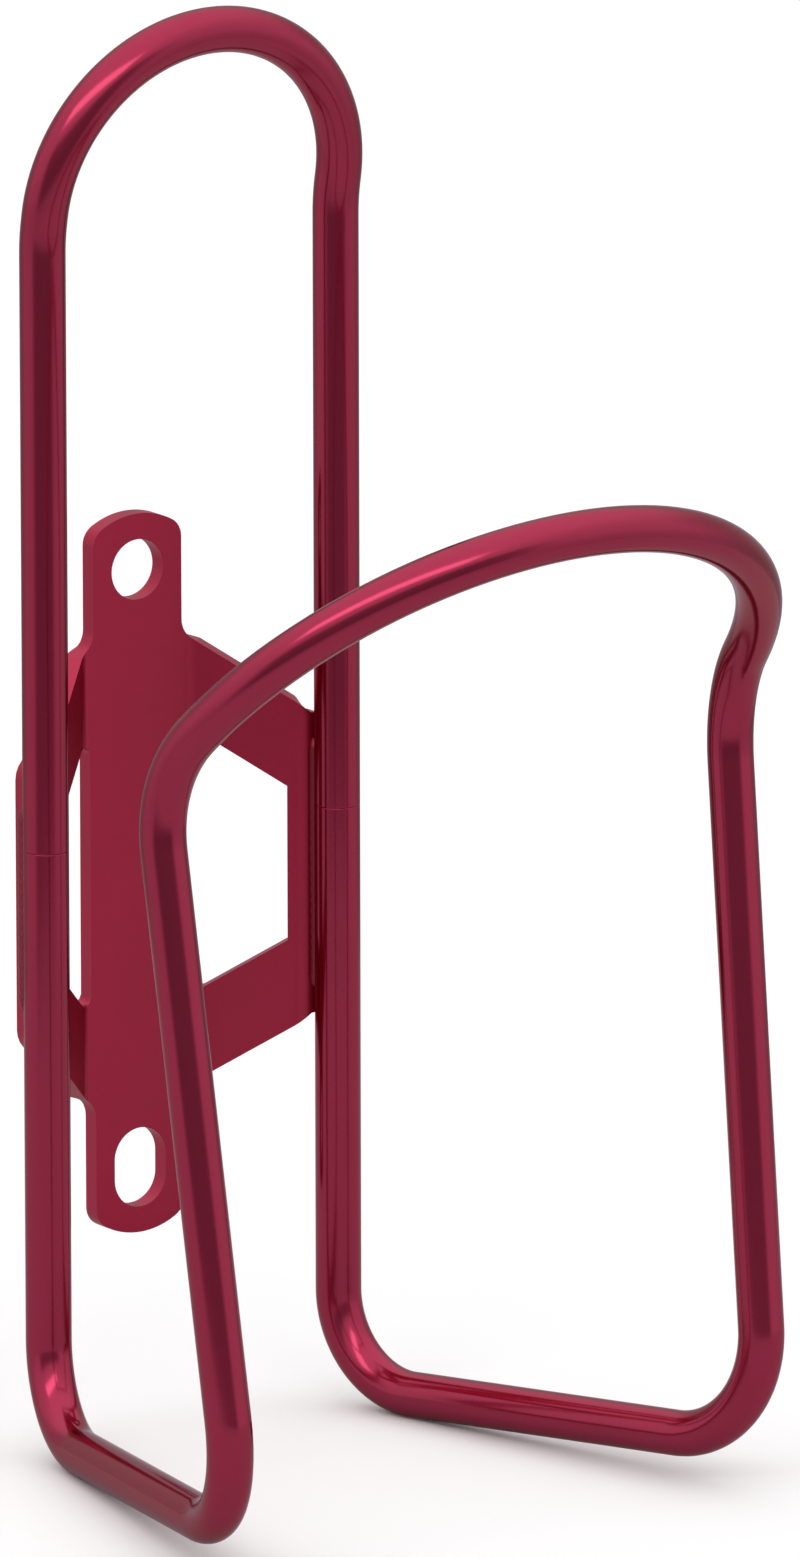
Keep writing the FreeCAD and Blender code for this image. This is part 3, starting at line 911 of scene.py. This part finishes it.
class CAGE_OT_welds(Operator):
    """Lay the four weld beads between the rails and the saddles"""

    bl_idname = "cage.make_welds"
    bl_label = "Make Welds"

    def execute(self, context):
        w = context.scene.cage_welds
        rods = context.scene.cage_rods
        plate = context.scene.cage_plate
        finish = context.scene.cage_finish
        metal = anodised("anodised_weld", finish.weld_colour, finish.plate_roughness,
                         grain_size=0.0005, grain_depth=0.4, mottle=0.1)
        rail = rods.rail_spacing / 2
        radius = rods.diameter / 2
        seat = math.sqrt(radius**2 - (radius - w.seat_depth) ** 2)
        inner = rail - seat
        outer = rail + min(seat, plate.saddle_overhang)
        for kind, x, length in (("inner", inner, w.inner_length), ("outer", outer, w.outer_length)):
            centre = Vector((x, -plate.saddle_depth, 0))
            right = make_bead(f"bead_right_{kind}", centre, length, w)
            right.data.materials.append(metal)
            left = mirrored_copy(right, f"bead_left_{kind}")
            finish_piece(right, "weld", f"weld_right_{kind}")
            finish_piece(left, "weld", f"weld_left_{kind}")
        return {"FINISHED"}


def place_camera():
    """A long lens that looks at the cage from its left front, a little from above."""
    ahead = Vector((
        math.cos(CAMERA_ELEVATION) * math.sin(CAMERA_AZIMUTH),
        math.cos(CAMERA_ELEVATION) * math.cos(CAMERA_AZIMUTH),
        -math.sin(CAMERA_ELEVATION),
    ))
    level = Vector((math.cos(CAMERA_AZIMUTH), -math.sin(CAMERA_AZIMUTH), 0))
    upright = level.cross(ahead)
    right = math.cos(CAMERA_ROLL) * level + math.sin(CAMERA_ROLL) * upright
    up = math.cos(CAMERA_ROLL) * upright - math.sin(CAMERA_ROLL) * level
    place = CAMERA_TARGET - ahead * CAMERA_DISTANCE
    place -= right * CAMERA_SHIFT[0] + up * CAMERA_SHIFT[1]
    data = bpy.data.cameras.new("studio_camera")
    data.sensor_width = 36
    data.lens = CAMERA_LENS
    data.clip_end = 50
    camera = bpy.data.objects.new("studio_camera", data)
    bpy.context.scene.collection.objects.link(camera)
    camera.matrix_world = camera_matrix(right, up, ahead, place)
    bpy.context.scene.camera = camera


def camera_matrix(right, up, ahead, place):
    """The matrix of a camera at a place, from its three directions."""
    turned = Matrix((right, up, -ahead)).transposed().to_4x4()
    return Matrix.Translation(place) @ turned


def softbox(name, place, aim, width, height, power):
    """A rectangular lamp that the camera doesn't see."""
    bpy.ops.object.light_add(type="AREA", location=place)
    lamp = bpy.context.object
    lamp.name = name
    lamp.data.shape = "RECTANGLE"
    lamp.data.size = width
    lamp.data.size_y = height
    lamp.data.energy = power
    lamp.rotation_euler = (Vector(aim) - Vector(place)).to_track_quat("-Z", "Y").to_euler()
    lamp.visible_camera = False


def light_room(scene, studio):
    """A soft dome that brightens upwards, with a dark patch at eye level in front and a taller
    one behind.
    """
    world = bpy.data.worlds.new("studio_room")
    scene.world = world
    world.use_nodes = True
    nodes = world.node_tree.nodes
    links = world.node_tree.links

    def math_node(operation, *values):
        node = nodes.new("ShaderNodeMath")
        node.operation = operation
        for socket, value in zip(node.inputs, values):
            if isinstance(value, float):
                socket.default_value = value
            else:
                links.new(value, socket)
        return node.outputs["Value"]

    def ramp_between(value, start, end, low, high):
        node = nodes.new("ShaderNodeMapRange")
        node.interpolation_type = "SMOOTHSTEP"
        node.inputs["From Min"].default_value = start
        node.inputs["From Max"].default_value = end
        node.inputs["To Min"].default_value = low
        node.inputs["To Max"].default_value = high
        links.new(value, node.inputs["Value"])
        return node.outputs["Result"]

    def towards(direction):
        node = nodes.new("ShaderNodeVectorMath")
        node.operation = "DOT_PRODUCT"
        links.new(coords.outputs["Generated"], node.inputs[0])
        node.inputs[1].default_value = direction
        return node.outputs["Value"]

    coords = nodes.new("ShaderNodeTexCoord")
    split = nodes.new("ShaderNodeSeparateXYZ")
    links.new(coords.outputs["Generated"], split.inputs["Vector"])
    height = split.outputs["Z"]
    ramp = nodes.new("ShaderNodeValToRGB")
    steps = ramp.color_ramp.elements
    while len(steps) < len(DOME_LEVELS):
        steps.new(0.5)
    for step, (sine, level) in zip(steps, DOME_LEVELS):
        step.position = (sine + 1) / 2
        step.color = (*[level / DOME_TOP] * 3, 1)
    links.new(math_node("MULTIPLY_ADD", height, 0.5, 0.5), ramp.inputs["Fac"])
    ahead = ramp_between(towards(FRONT), *FRONT_FADE, 0.0, studio.front_shade)
    off_level = math_node("ABSOLUTE", math_node("ADD", height, EYE_DROP))
    level_band = ramp_between(off_level, *EYE_FADE, 1.0, 0.0)
    shade = math_node("SUBTRACT", 1.0, math_node("MULTIPLY", ahead, level_band))
    dome = math_node("MULTIPLY", ramp.outputs["Color"], DOME_TOP * studio.dome_light)
    behind = ramp_between(towards(BACK), *BACK_FADE, 0.0, studio.back_shade)
    low_band = ramp_between(math_node("ABSOLUTE", height), *BACK_BAND_FADE, 1.0, 0.0)
    dusk = math_node("SUBTRACT", 1.0, math_node("MULTIPLY", behind, low_band))
    links.new(math_node("MULTIPLY", dome, math_node("MULTIPLY", shade, dusk)),
              nodes["Background"].inputs["Strength"])
    nodes["Background"].inputs["Color"].default_value = (1, 1, 1, 1)


class CAGE_OT_stage(Operator):
    """Set the pale floor, the soft lights and the camera"""

    bl_idname = "cage.make_stage"
    bl_label = "Make Stage"

    def execute(self, context):
        studio = context.scene.cage_studio
        bpy.ops.object.select_all(action="DESELECT")
        bpy.ops.mesh.primitive_plane_add(size=studio.floor_size, location=(0, 0, CAD_BOX[0].z))
        floor = named("floor")
        floor.data.materials.append(matt_paint("studio_floor", studio.floor_colour))
        floor.visible_glossy = False
        bpy.ops.object.select_all(action="DESELECT")
        bpy.ops.mesh.primitive_circle_add(
            vertices=CARD_SIDES, radius=studio.card_radius, fill_type="NGON",
            location=(0, CAMERA_TARGET.y, CAD_BOX[0].z + CARD_LIFT))
        card = named("bounce_card")
        card.data.materials.append(matt_paint("bounce_card", studio.card_colour))
        for rays in CARD_HIDDEN_FROM:
            setattr(card, "visible_" + rays, False)
        side = Vector((-FRONT.y, FRONT.x, 0))
        level = FRONT * math.cos(LAMP_AZIMUTH) + side * math.sin(LAMP_AZIMUTH)
        place = CAMERA_TARGET + (
            level * math.cos(LAMP_ELEVATION) + Vector((0, 0, math.sin(LAMP_ELEVATION)))
        ) * LAMP_DISTANCE
        softbox("softbox_front", place, CAMERA_TARGET, *LAMP_SIZE, studio.lamp_power)
        light_room(context.scene, studio)
        context.scene.view_settings.view_transform = "Standard"
        place_camera()
        return {"FINISHED"}


class CAGE_PT_panel(Panel):
    """Sizes, colours and steps of the bottle cage"""

    bl_label = "Bottle Cage"
    bl_idname = "CAGE_PT_panel"
    bl_space_type = "VIEW_3D"
    bl_region_type = "UI"
    bl_category = "Bottle Cage"

    def draw(self, context):
        scene = context.scene
        for title, group, operator in PANEL_ROWS:
            box = self.layout.box()
            box.label(text=title)
            values = getattr(scene, group)
            for key in values.__annotations__:
                box.prop(values, key)
            if operator:
                box.operator(operator)


PANEL_ROWS = (
    ("Rods", "cage_rods", "cage.make_rods"),
    ("Plate", "cage_plate", "cage.make_plate"),
    ("Welds", "cage_welds", "cage.make_welds"),
    ("Finish", "cage_finish", ""),
    ("Studio", "cage_studio", "cage.make_stage"),
)

GROUPS = {
    "cage_rods": CageRodSizes,
    "cage_plate": CagePlateSizes,
    "cage_welds": CageWeldSizes,
    "cage_finish": CageFinish,
    "cage_studio": CageStudio,
}
CLASSES = (*GROUPS.values(), CAGE_OT_rods, CAGE_OT_plate, CAGE_OT_welds, CAGE_OT_stage, CAGE_PT_panel)


def register():
    """Make the groups, the operators and the panel known."""
    for cls in CLASSES:
        bpy.utils.register_class(cls)
    for name, group in GROUPS.items():
        setattr(bpy.types.Scene, name, PointerProperty(type=group))


def unregister():
    """Take back what register added."""
    for name in GROUPS:
        delattr(bpy.types.Scene, name)
    for cls in reversed(CLASSES):
        bpy.utils.unregister_class(cls)


def main():
    """Make the stage and every piece."""
    register()
    bpy.ops.cage.make_stage()
    bpy.ops.cage.make_rods()
    bpy.ops.cage.make_plate()
    bpy.ops.cage.make_welds()


if __name__ == "__main__":
    main()
